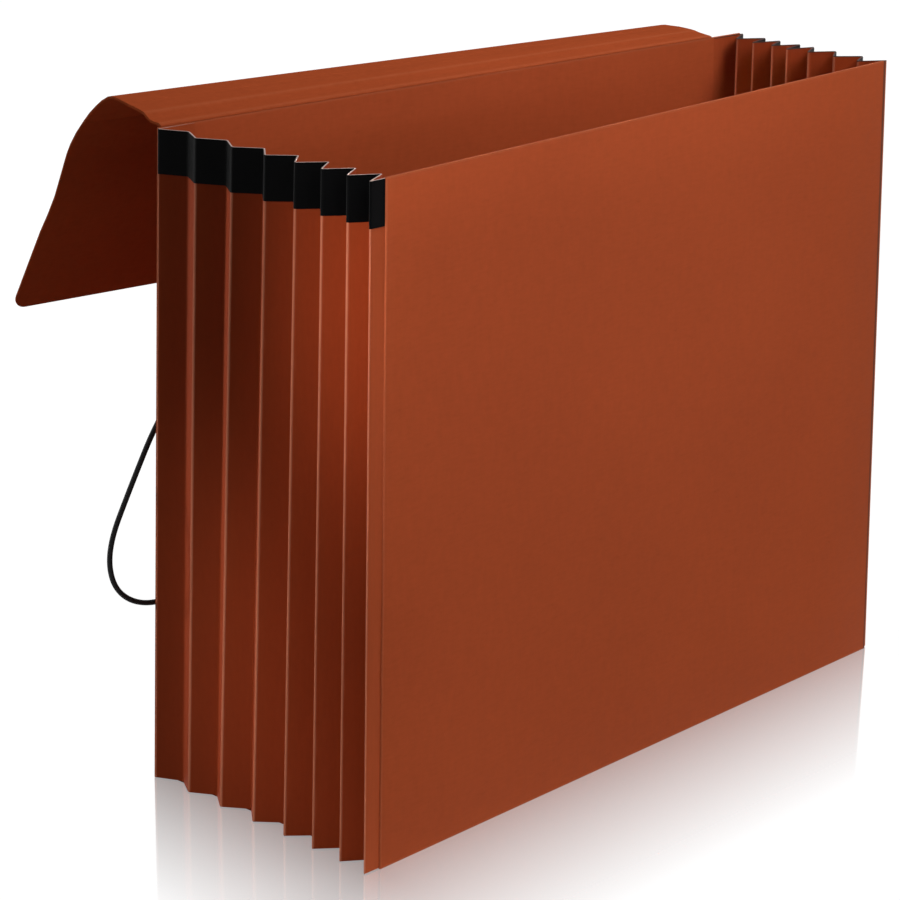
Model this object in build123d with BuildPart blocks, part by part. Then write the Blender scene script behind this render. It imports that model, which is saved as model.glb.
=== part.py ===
"""Expanding file wallet: two boards, pleated gussets, a scored flap and an elastic loop.

X runs along the boards, -Y is the front and +Z is up. The origin is the middle of the
back board's bottom edge. All lengths are millimetres.
"""

from build123d import *
import math
import os

# Boards
panel_width = 304.8
panel_height = 241.3
board_thickness = 0.9
front_left_reveal = 5.6
front_right_reveal = 1.0

# Gussets
pleat_depth = 10.5
paper_thickness = 0.5
fold_clearance = 0.16
gusset_drop = 0.3
gusset_lift = 0.4
flange_width = 16.0
flange_gap = 0.2
# Opening of each pleat's two faces, from the back board to the front
left_open_degs = [61.4, 57.2, 51.3, 44.5, 37.7, 35.2, 30.8]
right_open_degs = [31.0, 18.7, 26.8, 16.6, 31.2, 36.1, 31.8]

# Reinforcing tape round the mouth, on the outer side of the side gussets
tape_height = 16.7
tape_thickness = 0.12

# Bottom gusset
bottom_side_gap = 2.0
bottom_end_gap = 0.3

# Flap, scored across so that it curls over behind the back board: a creased spine, a curved
# strip that leads smoothly into the flat part, and the flat part
flap_spine_lengths = [9.3, 18.0]
flap_spine_angles = [15.5, 10.3]
flap_curl_length = 41.1
flap_curl_angle = -25.0
flap_panel_length = 67.9
flap_panel_angle = -62.0
flap_left_inset = 1.0
flap_right_inset = 17.5
flap_corner_radius = 6.0
flap_clearance = 0.35
score_clearance = 0.12

# Elastic cord, its eyelets and its stopper knots
cord_diameter = 2.0
cord_hole_clearance = 0.3
eyelet_wall = 0.5
eyelet_rim_width = 1.6
eyelet_rim_height = 0.45
eyelet_fit = 0.05
eyelet_rim_chamfer = 0.2
cord_sides = 12
knot_diameter = 5.2
knot_length = 4.6
knot_shoulder = 1.5
left_eyelet_x = -96.0
right_eyelet_x = -60.0
eyelet_z = 172.0

# Fold layout. A pleat face is a link from one fold axis to the next. Outer folds have their
# axis between the inner surfaces, inner folds between the outer, taped surfaces.
pleat_count = len(left_open_degs)
face_count = 2 * pleat_count
outer_fold_gap = fold_clearance
inner_fold_gap = fold_clearance + 2 * tape_thickness
fold_rise = paper_thickness + (outer_fold_gap + inner_fold_gap) / 2
link_length = math.hypot(pleat_depth, fold_rise)
link_angle = math.atan2(fold_rise, pleat_depth)
back_face_y = -board_thickness / 2
first_fold_v = paper_thickness + outer_fold_gap / 2

left_halves = [math.radians(angle) + link_angle for angle in left_open_degs]
right_halves = [math.radians(angle) + link_angle for angle in right_open_degs]
left_depth = 2 * link_length * sum(math.sin(half) for half in left_halves)
right_depth = 2 * link_length * sum(math.sin(half) for half in right_halves)
fan_angle = math.asin((left_depth - right_depth) / panel_width)

# The fanned front board ends a little short of the right side, so the right pleats lean inward.
right_lean = math.atan2(panel_width * (1 - math.cos(fan_angle)), right_depth)


def face_turns(side):
    """Turn of each face out of the flat-folded state, inner end forward being positive."""
    turns = []
    if side == "left":
        for half in left_halves:
            turns += [half - link_angle, link_angle - half]
    else:
        for half in right_halves:
            leaned = math.asin(math.sin(half) / math.cos(right_lean)) - link_angle
            turns += [leaned - right_lean, -leaned - right_lean]
    return turns


def fold_axes(side):
    """Fold axes as (inward, forward) from the side's back corner, from the first to the last."""
    axes = [(0.0, first_fold_v)]
    for index, turn in enumerate(face_turns(side)):
        closed = link_angle if index % 2 == 0 else math.pi - link_angle
        inward, forward = axes[-1]
        inward += link_length * math.cos(closed + turn)
        forward += link_length * math.sin(closed + turn)
        axes.append((inward, forward))
    return axes


def to_world(side, inward, forward):
    """Plan position of a point given from the side's back corner."""
    x = inward - panel_width / 2 if side == "left" else panel_width / 2 - inward
    return x, back_face_y - forward


front_fold_x, front_fold_y = to_world("left", *fold_axes("left")[-1])

# Flap in the side view, from the board's top edge to the free edge.
flap_fold_z = panel_height + board_thickness / 2 + flap_clearance
spine_turns = [math.radians(angle) for angle in flap_spine_angles]
spine_points = [(0.0, flap_fold_z)]
for spine_run, spine_turn in zip(flap_spine_lengths, spine_turns):
    spine_y, spine_z = spine_points[-1]
    spine_y += spine_run * math.cos(spine_turn)
    spine_z += spine_run * math.sin(spine_turn)
    spine_points.append((spine_y, spine_z))
crest_point = spine_points[-1]
curl_turn = math.radians(flap_curl_angle)
panel_turn = math.radians(flap_panel_angle)
curl_radius = flap_curl_length / (curl_turn - panel_turn)
curl_center = (
    crest_point[0] + curl_radius * math.sin(curl_turn),
    crest_point[1] - curl_radius * math.cos(curl_turn),
)
curl_end = (
    curl_center[0] - curl_radius * math.sin(panel_turn),
    curl_center[1] + curl_radius * math.cos(panel_turn),
)
flap_width = panel_width - flap_left_inset - flap_right_inset
flap_middle_x = (flap_left_inset - flap_right_inset) / 2

# Cord route: out of the left eyelet, round behind the left edge and back to the right eyelet.
cord_radius = cord_diameter / 2
knot_seat_y = back_face_y - eyelet_rim_height
cord_route = [
    (left_eyelet_x, knot_seat_y, eyelet_z),
    (left_eyelet_x, 4.6, eyelet_z),
    (-99.6, 8.7, 169.6),
    (-107.0, 10.6, 164.6),
    (-121.0, 11.3, 153.5),
    (-142.0, 10.5, 134.6),
    (-157.0, 9.5, 109.5),
    (-167.5, 9.0, 90.0),
    (-166.0, 9.0, 75.0),
    (-156.0, 9.0, 66.0),
    (-141.0, 9.3, 63.5),
    (-117.0, 9.8, 68.5),
    (-90.0, 10.4, 82.0),
    (-70.0, 11.0, 100.0),
    (-59.0, 11.3, 124.0),
    (-57.0, 11.4, 147.0),
    (-57.6, 11.0, 160.0),
    (-58.9, 8.9, 168.6),
    (right_eyelet_x, 4.6, eyelet_z),
    (right_eyelet_x, knot_seat_y, eyelet_z),
]
corner_run_share = 0.45

# Eyelet sizes that follow the cord
eyelet_bore_radius = cord_radius + cord_hole_clearance
eyelet_barrel_radius = eyelet_bore_radius + eyelet_wall
eyelet_rim_radius = eyelet_barrel_radius + eyelet_rim_width
eyelet_half_length = board_thickness / 2 + eyelet_rim_height
panel_hole_radius = eyelet_barrel_radius + eyelet_fit
eyelet_places = {"left": left_eyelet_x, "right": right_eyelet_x}

# Heights of the side gussets
gusset_height = panel_height - gusset_drop - gusset_lift
tape_bottom = gusset_lift + gusset_height - tape_height

# Frame of the front board: along the board, toward the back, up
front_direction = (math.cos(fan_angle), math.sin(fan_angle), 0)
flange_face_q = -outer_fold_gap / 2
panel_face_q = flange_face_q - paper_thickness

os.makedirs("parts", exist_ok=True)


def save(piece, name):
    piece.part.label = name
    export_step(piece.part, f"parts/{name}.step")


def front_plane(height):
    return Plane(origin=(front_fold_x, front_fold_y, height), x_dir=front_direction, z_dir=(0, 0, 1))


def slab(plane, start, end, height):
    """Upright sheet between two plan corners of a plane."""
    (x1, y1), (x2, y2) = start, end
    with BuildPart() as sheet:
        with BuildSketch(plane):
            with Locations(((x1 + x2) / 2, (y1 + y2) / 2)):
                Rectangle(abs(x2 - x1), abs(y2 - y1))
        extrude(amount=height)
    return sheet


# Boards
with BuildPart() as back_panel:
    with BuildSketch():
        Rectangle(panel_width, board_thickness)
    extrude(amount=panel_height)
    for eyelet_x in eyelet_places.values():
        hole_plane = Plane(origin=(eyelet_x, 0, eyelet_z), x_dir=(1, 0, 0), z_dir=(0, 1, 0))
        with BuildSketch(hole_plane):
            Circle(panel_hole_radius)
        extrude(amount=board_thickness, both=True, mode=Mode.SUBTRACT)
save(back_panel, "back_panel")

front_panel = slab(
    front_plane(0),
    (front_left_reveal, panel_face_q),
    (panel_width - front_right_reveal, panel_face_q - board_thickness),
    panel_height,
)
save(front_panel, "front_panel")

# Gusset flanges, glued to the inner faces of both boards
back_plane = Plane(origin=(-panel_width / 2, back_face_y, gusset_lift))
flange_front = front_plane(gusset_lift)
tape_span = front_left_reveal - flange_gap
flange_spans = {
    "left": (0, flange_width, gusset_height),
    "bottom": (flange_width + flange_gap, panel_width - flange_width - flange_gap, flange_width),
    "right": (panel_width - flange_width, panel_width, gusset_height),
}
for place, (start, end, height) in flange_spans.items():
    back_flange = slab(back_plane, (start, 0), (end, -paper_thickness), height)
    save(back_flange, f"back_flange_{place}")
    with BuildPart() as front_flange:
        with BuildSketch(flange_front):
            with Locations(((start + end) / 2, (flange_face_q + panel_face_q) / 2)):
                Rectangle(end - start, paper_thickness)
        extrude(amount=height)
        if place == "left":
            with BuildSketch(front_plane(tape_bottom)):
                with Locations((tape_span / 2, panel_face_q - tape_thickness / 2)):
                    Rectangle(tape_span, tape_thickness)
            extrude(amount=tape_height)
    save(front_flange, f"front_flange_{place}")


def pleat_face(side, index):
    """One flat face of a side gusset, with its band of tape on the outer surface."""
    turn = face_turns(side)[index]
    axis_x, axis_y = to_world(side, *fold_axes(side)[index])
    across = math.cos(turn) if side == "left" else -math.cos(turn)
    x_dir = (across, -math.sin(turn), 0)
    forward = -1 if side == "left" else 1
    if index % 2 == 0:
        middle = pleat_depth / 2
        near = outer_fold_gap / 2
        tape_near = near + paper_thickness
    else:
        middle = -pleat_depth / 2
        near = inner_fold_gap / 2
        tape_near = near - tape_thickness
    with BuildPart() as face:
        with BuildSketch(Plane(origin=(axis_x, axis_y, gusset_lift), x_dir=x_dir, z_dir=(0, 0, 1))):
            with Locations((middle, forward * (near + paper_thickness / 2))):
                Rectangle(pleat_depth, paper_thickness)
        extrude(amount=gusset_height)
        with BuildSketch(Plane(origin=(axis_x, axis_y, tape_bottom), x_dir=x_dir, z_dir=(0, 0, 1))):
            with Locations((middle, forward * (tape_near + tape_thickness / 2))):
                Rectangle(pleat_depth, tape_thickness)
        extrude(amount=tape_height)
    return face


for side in ("left", "right"):
    for index in range(face_count):
        save(pleat_face(side, index), f"{side}_pleat_{index + 1:02d}")


# Bottom gusset: a folded sheet that narrows toward the right with the fan of the boards
def bottom_profile(x):
    """Closed zigzag outline of the bottom sheet in the side view at this x."""
    start = back_face_y - paper_thickness - bottom_end_gap
    end = front_fold_y + (x - front_fold_x) * math.tan(fan_angle) + bottom_end_gap
    step = (start - end) / face_count
    rise = math.sqrt(pleat_depth**2 - step**2)
    sheet = paper_thickness * pleat_depth / step
    lower = [(start - i * step, gusset_lift + rise * (i % 2)) for i in range(face_count + 1)]
    upper = [(y, z + sheet) for y, z in reversed(lower)]
    return lower + upper


bottom_half = panel_width / 2 - pleat_depth - bottom_side_gap
with BuildPart() as bottom_gusset:
    for x in (-bottom_half, bottom_half):
        with BuildSketch(Plane.YZ.offset(x)):
            with BuildLine():
                Polyline(*bottom_profile(x), close=True)
            make_face()
    loft(ruled=True)
save(bottom_gusset, "bottom_gusset")

# Flap: spine, curl and panel, each ending a hair short of the score line it hinges on
flap_plane = Plane.YZ.offset(flap_middle_x)
half_board = board_thickness / 2
crest_trim = half_board * math.tan((spine_turns[-1] - curl_turn) / 2) + score_clearance


def beside(point, turn, distance):
    """Point off the sheet's middle line, to its upper side."""
    return point[0] - distance * math.sin(turn), point[1] + distance * math.cos(turn)


def along(point, turn, distance):
    return point[0] + distance * math.cos(turn), point[1] + distance * math.sin(turn)


crease_turn = sum(spine_turns) / 2
crease_half = half_board / math.cos((spine_turns[0] - spine_turns[1]) / 2)
spine_end = along(crest_point, spine_turns[1], -crest_trim)
spine_stations = [
    (spine_points[0], spine_turns[0], half_board),
    (spine_points[1], crease_turn, crease_half),
    (spine_end, spine_turns[1], half_board),
]
spine_upper = [beside(point, turn, half) for point, turn, half in spine_stations]
spine_lower = [beside(point, turn, -half) for point, turn, half in reversed(spine_stations)]
with BuildPart() as flap_spine:
    with BuildSketch(flap_plane):
        with BuildLine():
            Polyline(*spine_upper, *spine_lower, close=True)
        make_face()
    extrude(amount=flap_width / 2, both=True)
save(flap_spine, "flap_spine")

curl_start_deg = 90 + flap_curl_angle - math.degrees(crest_trim / curl_radius)
curl_end_deg = 90 + flap_panel_angle + math.degrees(score_clearance / curl_radius)
with BuildPart() as flap_curl:
    with BuildSketch(flap_plane):
        with BuildLine():
            arcs = [
                CenterArc(curl_center, curl_radius + side, curl_end_deg, curl_start_deg - curl_end_deg)
                for side in (-half_board, half_board)
            ]
            for place in (0, 1):
                Line(arcs[0] @ place, arcs[1] @ place)
        make_face()
    extrude(amount=flap_width / 2, both=True)
save(flap_curl, "flap_curl")

sheet_plane = Plane(
    origin=(flap_middle_x, *curl_end),
    x_dir=(1, 0, 0),
    z_dir=(0, -math.sin(panel_turn), math.cos(panel_turn)),
)
with BuildPart() as flap_panel:
    with BuildSketch(sheet_plane) as outline:
        with Locations((0, (flap_panel_length + score_clearance) / 2)):
            Rectangle(flap_width, flap_panel_length - score_clearance)
        fillet(outline.vertices().group_by(Axis.Z)[0], flap_corner_radius)
    extrude(amount=half_board, both=True)
save(flap_panel, "flap_panel")

# Eyelets in the back board and the knots that stop the cord inside
for side, eyelet_x in eyelet_places.items():
    turning_plane = Plane(origin=(eyelet_x, 0, eyelet_z), x_dir=(1, 0, 0), z_dir=(0, 0, 1))
    turning_axis = Axis((eyelet_x, 0, eyelet_z), (0, 1, 0))
    with BuildPart() as eyelet:
        with BuildSketch(turning_plane) as section:
            with Locations((eyelet_bore_radius + eyelet_wall / 2, 0)):
                Rectangle(eyelet_wall, 2 * eyelet_half_length)
            for end in (-1, 1):
                rim_middle_y = end * (eyelet_half_length - eyelet_rim_height / 2)
                with Locations(((eyelet_bore_radius + eyelet_rim_radius) / 2, rim_middle_y)):
                    Rectangle(eyelet_rim_radius - eyelet_bore_radius, eyelet_rim_height)
            outer_corners = section.vertices().group_by(Axis.X)[-1].sort_by(Axis.Y)
            chamfer([outer_corners[0], outer_corners[-1]], eyelet_rim_chamfer)
        revolve(axis=turning_axis)
    save(eyelet, f"cord_eyelet_{side}")
    with BuildPart() as knot:
        with BuildSketch(turning_plane):
            with BuildLine():
                Polyline(
                    (0, knot_seat_y),
                    (cord_radius, knot_seat_y),
                    (knot_diameter / 2, knot_seat_y - knot_shoulder),
                    (knot_diameter / 2, knot_seat_y - knot_length + knot_shoulder),
                    (cord_radius, knot_seat_y - knot_length),
                    (0, knot_seat_y - knot_length),
                    close=True,
                )
            make_face()
        revolve(axis=turning_axis)
    save(knot, f"cord_knot_{side}")

# Elastic cord
points = [Vector(*point) for point in cord_route]
runs = [b - a for a, b in zip(points, points[1:])]
corner_radii = []
for before, after in zip(runs, runs[1:]):
    half_turn = math.radians(before.get_angle(after)) / 2
    shorter = min(before.length, after.length)
    corner_radii.append(corner_run_share * shorter / math.tan(half_turn))
with BuildPart() as elastic_cord:
    with BuildLine() as route:
        FilletPolyline(*points, radius=corner_radii)
    with BuildSketch(Plane(origin=route.line @ 0, z_dir=route.line % 0)):
        RegularPolygon(cord_radius, cord_sides)
    sweep()
save(elastic_cord, "elastic_cord")

cord_length = route.wires()[0].length
section_area = cord_sides * cord_radius**2 * math.sin(2 * math.pi / cord_sides) / 2
tube_volume = section_area * cord_length
print("cord corner radii", [round(radius, 1) for radius in corner_radii])
print("cord length", round(cord_length, 1), "volume over section times length",
      round(elastic_cord.part.volume / tube_volume, 4))
print("open depth left", round(left_depth, 1), "right", round(right_depth, 1),
      "fan", round(math.degrees(fan_angle), 2))
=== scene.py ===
import math

import bmesh
import bpy
from bpy.props import FloatProperty, FloatVectorProperty, PointerProperty
from mathutils import Matrix, Vector


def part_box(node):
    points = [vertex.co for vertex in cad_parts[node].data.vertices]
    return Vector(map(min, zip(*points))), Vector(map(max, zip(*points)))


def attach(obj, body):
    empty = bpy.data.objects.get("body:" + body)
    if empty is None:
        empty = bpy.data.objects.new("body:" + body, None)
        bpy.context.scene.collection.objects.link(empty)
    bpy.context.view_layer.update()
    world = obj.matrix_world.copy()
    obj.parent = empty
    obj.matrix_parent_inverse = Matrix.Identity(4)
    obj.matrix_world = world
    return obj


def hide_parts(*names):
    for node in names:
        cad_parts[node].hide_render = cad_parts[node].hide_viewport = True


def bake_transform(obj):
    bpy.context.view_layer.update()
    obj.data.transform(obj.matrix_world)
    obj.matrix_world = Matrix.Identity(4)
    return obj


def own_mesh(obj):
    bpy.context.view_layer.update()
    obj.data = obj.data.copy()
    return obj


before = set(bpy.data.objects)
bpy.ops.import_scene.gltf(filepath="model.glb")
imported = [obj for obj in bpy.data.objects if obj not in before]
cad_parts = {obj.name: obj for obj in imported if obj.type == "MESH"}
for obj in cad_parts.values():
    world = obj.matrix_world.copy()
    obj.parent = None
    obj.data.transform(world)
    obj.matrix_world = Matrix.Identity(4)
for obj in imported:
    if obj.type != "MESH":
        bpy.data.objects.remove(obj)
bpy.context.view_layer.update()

bl_info = {
    "name": "Expanding file folder",
    "version": (1, 0, 0),
    "blender": (4, 5, 0),
    "location": "View3D > Sidebar > Folder",
    "description": "Dresses the packed folder with boards, pleated paper, a flap and a cord",
    "category": "Object",
}

MM = 0.001
SIDES = ("left", "right")
PLEAT_FACES = 14

# Distances in metres that count as none, for moving a vertex, at one spot and on one line, and the
# decimal places that tell corners apart
NO_STEP = 1e-7
SAME_SPOT = 1e-6
SAME_LINE = 1e-5
PLACES = 6

# Corners of the plane that a sheet starts from
PLANE_CORNERS = [Vector((x, y, 0)) for y in (-0.5, 0.5) for x in (-0.5, 0.5)]

# Finishes: the darker and lighter tone of board and paper, the strength of the bump, and gloss
DARK_TONE = 0.86
LIGHT_TONE = 1.14
BUMP_STRENGTH = 0.6
BOARD_GLOSS = 0.02
FLAP_GLOSS = 0.0
PAPER_GLOSS = 0.03
CORD_GLOSS = 0.2
METAL_GLOSS = 0.5

# Boards: rounding of the rubbed left edge in front, parts that let a board lean, the turn in
# radians past which an edge is rounded, how near to a long sheet's end its corners are, and where
# the worn rim and the painted shade along the front board's right edge start and end, from the edge
WORN_EDGE = 0.0004
BOARD_PARTS = 8
SHARP_EDGE = 1.0
END_BAND = 0.0004
WORN_RIM = (0.0009, 0.0002)
PAINTED_SHADE_EDGE = (0.0017, 0.0007)

# Side gussets: how far the flanges' ends sink into the boards, the reach of a crease's paleness
# from wear and painted highlight and of its bend as multiples of its rounding, the height of the
# pale or dark rim at the top, and a top that paper without a rim never gets to
FLANGE_SINK = 0.00048
WEAR_AND_HIGHLIGHT_REACH = 2.0
BEND_REACH = 1.5
LEFT_RIM = 0.00006
RIGHT_RIM = 0.0003
NO_RIM = 1.0

# Tape: how far its top stays below the paper's, how far it laps past the end creases as a multiple
# of their rounding, and how far it ends before the front board
TAPE_DROPS = {"left": 0.00005, "right": RIGHT_RIM}
TAPE_LAP = 2.0
TAPE_END_GAP = 0.0002

# Bottom gusset: how far it tucks into the boards and laps past the sides' inner folds, the length
# in which its pleats run out flat, and the parts of its flanges
BOTTOM_TUCK = 0.0005
BOTTOM_LAP = 0.0010
BOTTOM_RUN_OUT = 0.0035
FLANGE_PARTS = 8

# Folded-in corners of the bottom: height off the ground, the same at the linkage's open end, and
# thickness
CORNER_FOOT = 0.00026
OPEN_CORNER_FOOT = 0.00013
CORNER_THICKNESS = 0.00012

# Cord: facets of its round. Knots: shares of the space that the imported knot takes, and the
# drawn-thin cord's radius as a share of its diameter
CORD_FACETS = 4
KNOT_ACROSS = 0.112
KNOT_DEEP = 0.30
KNOT_CORD = 0.45

# Eyelets: width of the rolled rim, thickness of the brass, and half of the section from the bore
# out, as (measured from, distance, share of the half depth)
EYELET_RIM = 0.0021
EYELET_WALL = 0.00012
EYELET_SECTION = (("bore", 0.0, 0.6), ("bore", 0.0002, 0.86), ("bore", 0.0007, 1.0),
                  ("rim", -0.0006, 0.96), ("rim", 0.0, 0.62), ("rim", -0.0002, 0.52))
EYELET_STEPS = 36

# How far the top of each outer fold stands behind its upright line, in mm, from the back board
# to the front; its bottom stands as far in front. The boards lean with their end folds.
FOLD_LEANS = {
    "left": (-3.1, -3.7, -4.5, -3.9, -2.9, -1.8, -0.7, 0.3),
    "right": (1.6, 1.45, 1.6, 2.1, 2.0, 2.7, 2.5, 3.6),
}

# Side view of the flap at its left end, in mm: from the board's top edge over the fold and the
# first score, over the crest, and down the curl to the free edge. Then the lines painted pale, as
# rubbed wear and painted highlight, how far that reaches, and the turn past which an edge counts as
# cut.
FLAP_ROOT = ((0.0, 241.3), (0.12, 241.75), (0.9, 242.15), (3.2, 242.35), (5.6, 242.6),
             (7.3, 243.6), (9.0, 244.75), (10.8, 245.2), (14.0, 245.75), (17.8, 246.45))
FLAP_CREST = ((17.8, 246.45), (21.5, 247.1), (24.8, 247.65), (26.8, 247.7), (28.8, 247.2),
              (32.2, 245.4), (35.4, 243.1), (39.3, 239.9), (42.85, 236.3))
FLAP_TAIL = ((42.85, 236.3), (46.9, 231.9), (50.4, 227.2), (52.6, 223.4), (54.3, 219.7),
             (57.2, 213.2), (60.25, 206.5), (64.5, 199.2), (69.2, 192.0), (76.9, 178.6),
             (84.55, 165.25), (87.6, 159.9))
FLAP_SCORES = ((0.9, 242.15), (9.0, 244.75), (26.8, 247.7))
SCORE_WEAR_AND_HIGHLIGHT = 0.0022
CUT_EDGE = math.radians(60)

# Each piece of the flap: its side view, the bodies that it bends between, the joint that it bends
# at, and where from that joint the bend starts and ends, in mm
FLAP_PIECES = {
    "flap_root": (FLAP_ROOT, ("back", "flap_spine"), "flap_fold",
                  ((0, -2.5, -0.6), (0, 4.5, 0.6))),
    "flap_crest": (FLAP_CREST, ("flap_spine", "flap_curl"), "flap_score_1",
                   ((0, -5.0, 0.0), (0, 4.0, -2.0))),
    "flap_tail": (FLAP_TAIL, ("flap_curl", "flap_panel"), "flap_score_2",
                  ((0, -3.0, 5.5), (0, 3.0, -5.5))),
}

# How far the flap's right end sinks below its left end, by the distance behind the board, in mm
FLAP_SINK = ((0.0, 0.0), (0.12, 0.3), (0.9, 0.55), (5.6, 0.55), (7.3, 1.3), (9.0, 2.1), (10.8, 2.4),
             (14.0, 2.8), (17.8, 3.4), (21.5, 4.2), (26.8, 5.2), (100.0, 5.2))

# Route of the elastic cord, in mm, from the left eyelet to the right one
CORD_ROUTE = (
    (-96.0, -0.9, 172.0), (-96.0, 4.6, 172.0), (-99.6, 8.7, 169.6), (-107.0, 10.6, 164.6),
    (-121.0, 11.3, 153.5), (-142.0, 10.5, 134.6), (-157.0, 9.5, 109.5), (-167.5, 9.0, 90.0),
    (-166.0, 9.0, 75.0), (-156.0, 9.0, 66.0), (-141.0, 9.3, 63.5), (-117.0, 9.8, 68.5),
    (-90.0, 10.4, 82.0), (-70.0, 11.0, 100.0), (-59.0, 11.3, 124.0), (-57.0, 11.4, 147.0),
    (-57.6, 11.0, 160.0), (-58.9, 8.9, 168.6), (-60.0, 4.6, 172.0), (-60.0, -0.9, 172.0),
)

# Large soft lamps as place, point aimed at and size, and narrow beams with width, height and spread
# in degrees. Their powers are in the stage's properties of the same names.
LAMPS = {
    "key": ((0.52, -1.15, 1.60), (0.03, -0.05, 0.14), 1.0),
    "back": ((0.50, 1.45, 1.25), (0.0, 0.02, 0.13), 0.8),
}
BEAMS = {
    "edge": ((-0.66, 1.05, 0.22), (-0.158, -0.030, 0.140), 0.40, 0.30, 20.0),
    "strip": ((-1.20, -0.40, 0.66), (-0.152, -0.115, 0.240), 0.03, 0.18, 6.5),
    "low": ((-1.25, -0.12, 0.185), (-0.155, -0.047, 0.055), 0.03, 0.13, 6.5),
    "fill": ((-1.14, -0.55, 0.30), (-0.152, -0.120, 0.030), 0.03, 0.18, 6.5),
    "rake": ((0.75, -1.25, 0.42), (0.03, -0.087, 0.240), 0.10, 0.10, 13.0),
}

# Floor: size, its glow to the camera and that glow's share, polish, the share of its sheen that
# also lights the folder, and the folder's footprint, with FOOT_FAN * x + FOOT_FRONT as front edge
FLOOR_SIZE = 12.0
FLOOR_GLOW = 1.22
FLOOR_GLOW_SHARE = 0.82
FLOOR_POLISH = 0.06
FLOOR_SHEEN_LIGHT = 0.5
FOOT_RIGHT = 0.1524
FOOT_BACK = 0.0005
FOOT_FAN = 0.11
FOOT_FRONT = -0.0945

CAMERA_TARGET = (-0.0079, 0.0, 0.0967)
SENSOR_WIDTH = 36.0
CLIP_END = 30.0


def length(name, description, default):
    return FloatProperty(name=name, description=description, default=default, min=0.0, precision=5,
                         subtype="DISTANCE", unit="LENGTH")


def share(name, description, default):
    return FloatProperty(name=name, description=description, default=default, min=0.0, soft_max=1.0,
                         subtype="FACTOR")


def colour(name, description, default):
    return FloatVectorProperty(name=name, description=description, default=default, size=3, min=0.0,
                               max=1.0, subtype="COLOR")


def power(name, description, default):
    return FloatProperty(name=name, description=f"Power of the {description}", default=default,
                         min=0.0, unit="POWER")


def angle(name, description, degrees):
    return FloatProperty(name=name, description=description, default=math.radians(degrees),
                         subtype="ANGLE", unit="ROTATION")


class FolderSizes(bpy.types.PropertyGroup):
    paper_thickness: length("Paper thickness", "Thickness of the gusset paper", 0.0005)
    crease_round: length("Crease rounding", "How far a crease is rounded from its line", 0.0008)
    fold_lean: share("Fold lean", "Share of the measured lean of the folds that is modelled", 0.8)
    tape_height: length("Tape height", "Height of the band of tape round the mouth", 0.0157)
    tape_thickness: length("Tape thickness", "How far the tape stands proud of the paper", 0.00014)
    board_thickness: length("Board thickness", "Thickness of the boards and the flap", 0.0009)
    board_round: length("Board edge", "Rounding of the boards' cut edges", 0.00016)
    flap_droop: share("Flap droop", "Share of the measured sinking of the flap's right end", 1.0)
    flap_corner: length("Flap corner", "Radius of the flap's free corners", 0.006)
    cord_diameter: length("Cord diameter", "Diameter of the elastic cord", 0.002)
    cord_length: length("Cord length", "Length of the elastic loop between its eyelets", 0.3227)


class FolderColours(bpy.types.PropertyGroup):
    board: colour("Board", "Red-brown fibre board of the boards and flap", (0.366, 0.0675, 0.0212))
    # Worn board: paler along the flap's fold and scores, partly wear and partly painted highlight
    board_worn_and_highlight: colour("Worn board", "Board where it is scored or rubbed", (0.47, 0.135, 0.058))
    board_edge: colour("Board edge", "Cut edge of the board", (0.42, 0.13, 0.06))
    # Painted shade, not dirt: the dark band along the front board's right edge
    board_shade: colour("Shaded edge", "Grimy right edge of the front board", (0.085, 0.034, 0.022))
    paper: colour("Paper", "Gusset paper", (0.31, 0.046, 0.0125))
    # Crease: pale with wear, and also painted highlight where the rounded folds catch the light
    crease: colour("Crease", "Gusset paper where a fold has worn it", (0.56, 0.185, 0.100))
    raw_edge: colour("Raw edge", "Cut top edge of the left gusset's paper", (0.42, 0.33, 0.30))
    dark_edge: colour("Dark edge", "Top edge of the right gusset's paper", (0.030, 0.025, 0.024))
    tape: colour("Tape", "Black binding tape", (0.0009, 0.0009, 0.0010))
    cord: colour("Cord", "Black elastic", (0.004, 0.004, 0.0043))
    brass: colour("Brass", "Eyelets", (0.62, 0.43, 0.17))


class FolderStage(bpy.types.PropertyGroup):
    floor: colour("Floor", "Pale floor", (0.36, 0.36, 0.36))
    ambient: share("Ambient", "Strength of the plain light from all round", 0.055)
    key: power("Key light", "large lamp in front", 29.5)
    back: power("Back light", "large lamp behind", 12.0)
    edge: power("Edge light", "beam along the fold edges, from behind", 0.213)
    strip: power("Strip light", "beam on the tops of the front pleats", 0.045)
    low: power("Low light", "beam on the lower half of the back pleats", 0.0093)
    fill: power("Fill light", "beam on the lower half of the front pleats", 0.009)
    rake: power("Rake light", "beam on the top of the front board", 0.0083)
    mirror: share("Floor sheen", "Strength of the floor's reflection at the folder's foot", 0.70)
    mirror_reach: length("Sheen reach", "How far out the floor's reflection fades away", 0.084)
    lens: FloatProperty(name="Lens", description="Focal length of the camera", default=132.0,
                        subtype="DISTANCE_CAMERA", unit="CAMERA")
    distance: length("Camera distance", "From the camera to the point it looks at", 1.271)
    azimuth: angle("Azimuth", "Camera angle round the folder", -44.09)
    elevation: angle("Elevation", "Camera angle above the horizon", 16.84)
    roll: angle("Roll", "Camera roll", 1.01)


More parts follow.
